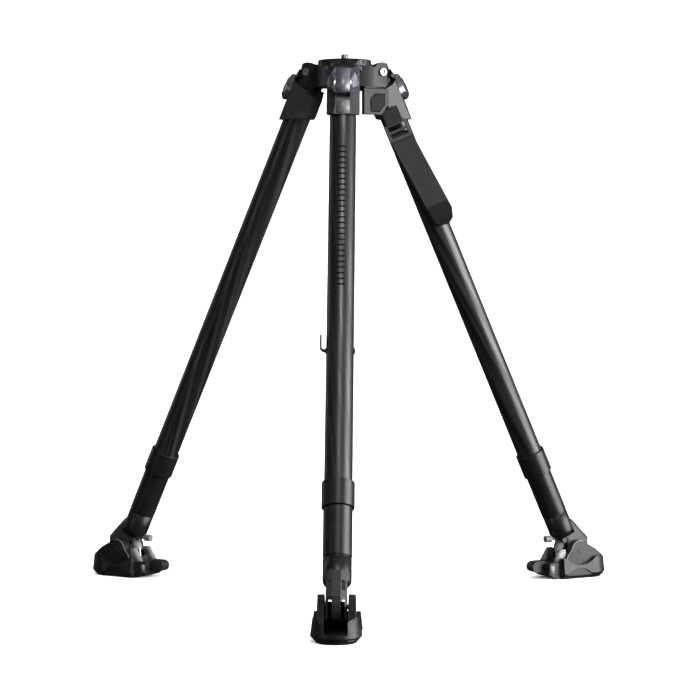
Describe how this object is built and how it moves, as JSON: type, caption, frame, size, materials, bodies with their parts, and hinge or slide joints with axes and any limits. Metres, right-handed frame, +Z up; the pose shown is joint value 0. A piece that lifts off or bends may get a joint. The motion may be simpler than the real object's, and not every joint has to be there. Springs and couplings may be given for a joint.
{
  "type": "tripod",
  "caption": "Camera tripod with a flat stud plate, tilting legs of telescoping carbon tubes, hinged release paddles and spiked feet in pivoting shoes.",
  "frame": {"origin": "centre of the head plate's upper face, on the camera stud's axis", "axes": "+Z up along the stud, one leg points along -Y, X across"},
  "size_m": [0.7578, 0.6648, 0.7495],
  "materials": {
    "crown_metal": "satin dark grey paint over a casting",
    "plate_metal": "black anodised, fine satin",
    "bright_steel": "plain machined steel",
    "knob_plastic": "black, slightly soft",
    "block_metal": "grey satin paint",
    "button_plastic": "black, polished",
    "clip_plastic": "black moulded",
    "webbing": "black woven webbing",
    "buckle_plastic": "dark grey moulded",
    "strap_fabric": "dark grey woven strap with stitched edges",
    "strap_patch": "black grained patch",
    "shoulder_metal": "grey satin paint over a casting",
    "paddle_metal": "light grey satin paint with a violet cast",
    "carbon": "satin wound carbon fibre",
    "collar_metal": "black satin paint",
    "guide_plastic": "off-white bearing plastic",
    "cap_plastic": "black moulded",
    "link_metal": "dark grey satin paint over a casting",
    "shoe_rubber": "black moulded, softly worn edges"
  },
  "bodies": {
    "root": {"crown": "crown_metal", "head_plate": "plate_metal", "head_stud": "bright_steel", "pivot_bolts": "bright_steel", "release_block": "block_metal"},
    "clamp_knob": {"clamp_knob": "knob_plastic"},
    "release_button": {"release_button": "button_plastic"},
    "front_upper": {"front_shoulder": "shoulder_metal", "front_paddle_pin": "bright_steel", "front_upper_tube": "carbon", "front_upper_collar": "collar_metal", "hook_clip": "clip_plastic"},
    "front_paddle": {"front_paddle": "paddle_metal"},
    "front_middle": {"front_middle_tube": "carbon", "front_middle_guide": "guide_plastic", "front_middle_collar": "collar_metal"},
    "front_lower": {"front_lower_tube": "carbon", "front_lower_guide": "guide_plastic", "front_end_cap": "cap_plastic", "front_stirrup": "link_metal", "front_spike": "bright_steel"},
    "front_shoe": {"front_shoe": "shoe_rubber", "front_foot_pin": "bright_steel"},
    "front_latch_knob": {"front_latch_knob": "knob_plastic"},
    "right_upper": {"right_shoulder": "shoulder_metal", "right_paddle_pin": "bright_steel", "right_upper_tube": "carbon", "right_upper_collar": "collar_metal", "strap_anchor": "webbing", "strap_buckle": "buckle_plastic", "carry_strap": "strap_fabric", "strap_end": "strap_patch"},
    "right_paddle": {"right_paddle": "paddle_metal"},
    "right_middle": {"right_middle_tube": "carbon", "right_middle_guide": "guide_plastic", "right_middle_collar": "collar_metal"},
    "right_lower": {"right_lower_tube": "carbon", "right_lower_guide": "guide_plastic", "right_end_cap": "cap_plastic", "right_stirrup": "link_metal", "right_spike": "bright_steel"},
    "right_shoe": {"right_shoe": "shoe_rubber", "right_foot_pin": "bright_steel"},
    "right_latch_knob": {"right_latch_knob": "knob_plastic"},
    "left_upper": {"left_shoulder": "shoulder_metal", "left_paddle_pin": "bright_steel", "left_upper_tube": "carbon", "left_upper_collar": "collar_metal"},
    "left_paddle": {"left_paddle": "paddle_metal"},
    "left_middle": {"left_middle_tube": "carbon", "left_middle_guide": "guide_plastic", "left_middle_collar": "collar_metal"},
    "left_lower": {"left_lower_tube": "carbon", "left_lower_guide": "guide_plastic", "left_end_cap": "cap_plastic", "left_stirrup": "link_metal", "left_spike": "bright_steel"},
    "left_shoe": {"left_shoe": "shoe_rubber", "left_foot_pin": "bright_steel"},
    "left_latch_knob": {"left_latch_knob": "knob_plastic"}
  },
  "joints": [
    {"name": "clamp_knob_spin", "type": "hinge", "parent": "root", "child": "clamp_knob", "pos_m": [0, 0, -0.0435], "axis": [0, 0, 1], "continuous": true},
    {"name": "release_button_press", "type": "slide", "parent": "root", "child": "release_button", "axis": [-0.5, 0.866, 0], "range_m": [0, 0.002], "stiffness_N_per_m": 600, "springref_m": -0.001},
    {"name": "front_spread", "type": "hinge", "parent": "root", "child": "front_upper", "pos_m": [0, -0.0484, -0.0158], "axis": [-1, 0, 0], "range_deg": [-21.5, 50]},
    {"name": "front_paddle_lift", "type": "hinge", "parent": "front_upper", "child": "front_paddle", "pos_m": [0, -0.07199, -0.02228], "axis": [-1, 0, 0], "range_deg": [0, 18], "stiffness_Nm_per_rad": 0.3, "springref_deg": -17.19},
    {"name": "front_middle_slide", "type": "slide", "parent": "front_upper", "child": "front_middle", "axis": [0, -0.4305, -0.9026], "range_m": [0, 0.43]},
    {"name": "front_lower_slide", "type": "slide", "parent": "front_middle", "child": "front_lower", "axis": [0, -0.4305, -0.9026], "range_m": [0, 0.43]},
    {"name": "front_shoe_tilt", "type": "hinge", "parent": "front_lower", "child": "front_shoe", "pos_m": [0, -0.37953, -0.70148], "axis": [1, 0, 0], "range_deg": [-30, 25]},
    {"name": "front_latch_pull", "type": "slide", "parent": "front_lower", "child": "front_latch_knob", "axis": [0, 1, 0], "range_m": [0, 0.004], "stiffness_N_per_m": 400, "springref_m": -0.002},
    {"name": "right_spread", "type": "hinge", "parent": "root", "child": "right_upper", "pos_m": [0.04192, 0.0242, -0.0158], "axis": [0.5, -0.866, 0], "range_deg": [-21.5, 50]},
    {"name": "right_paddle_lift", "type": "hinge", "parent": "right_upper", "child": "right_paddle", "pos_m": [0.06234, 0.03599, -0.02228], "axis": [0.5, -0.866, 0], "range_deg": [0, 18], "stiffness_Nm_per_rad": 0.3, "springref_deg": -17.19},
    {"name": "right_middle_slide", "type": "slide", "parent": "right_upper", "child": "right_middle", "axis": [0.3728, 0.2153, -0.9026], "range_m": [0, 0.43]},
    {"name": "right_lower_slide", "type": "slide", "parent": "right_middle", "child": "right_lower", "axis": [0.3728, 0.2153, -0.9026], "range_m": [0, 0.43]},
    {"name": "right_shoe_tilt", "type": "hinge", "parent": "right_lower", "child": "right_shoe", "pos_m": [0.32868, 0.18976, -0.70148], "axis": [-0.5, 0.866, 0], "range_deg": [-30, 25]},
    {"name": "right_latch_pull", "type": "slide", "parent": "right_lower", "child": "right_latch_knob", "axis": [-0.866, -0.5, 0], "range_m": [0, 0.004], "stiffness_N_per_m": 400, "springref_m": -0.002},
    {"name": "left_spread", "type": "hinge", "parent": "root", "child": "left_upper", "pos_m": [-0.04192, 0.0242, -0.0158], "axis": [0.5, 0.866, 0], "range_deg": [-21.5, 50]},
    {"name": "left_paddle_lift", "type": "hinge", "parent": "left_upper", "child": "left_paddle", "pos_m": [-0.06234, 0.03599, -0.02228], "axis": [0.5, 0.866, 0], "range_deg": [0, 18], "stiffness_Nm_per_rad": 0.3, "springref_deg": -17.19},
    {"name": "left_middle_slide", "type": "slide", "parent": "left_upper", "child": "left_middle", "axis": [-0.3728, 0.2153, -0.9026], "range_m": [0, 0.43]},
    {"name": "left_lower_slide", "type": "slide", "parent": "left_middle", "child": "left_lower", "axis": [-0.3728, 0.2153, -0.9026], "range_m": [0, 0.43]},
    {"name": "left_shoe_tilt", "type": "hinge", "parent": "left_lower", "child": "left_shoe", "pos_m": [-0.32868, 0.18976, -0.70148], "axis": [-0.5, -0.866, 0], "range_deg": [-30, 25]},
    {"name": "left_latch_pull", "type": "slide", "parent": "left_lower", "child": "left_latch_knob", "axis": [0.866, -0.5, 0], "range_m": [0, 0.004], "stiffness_N_per_m": 400, "springref_m": -0.002}
  ]
}
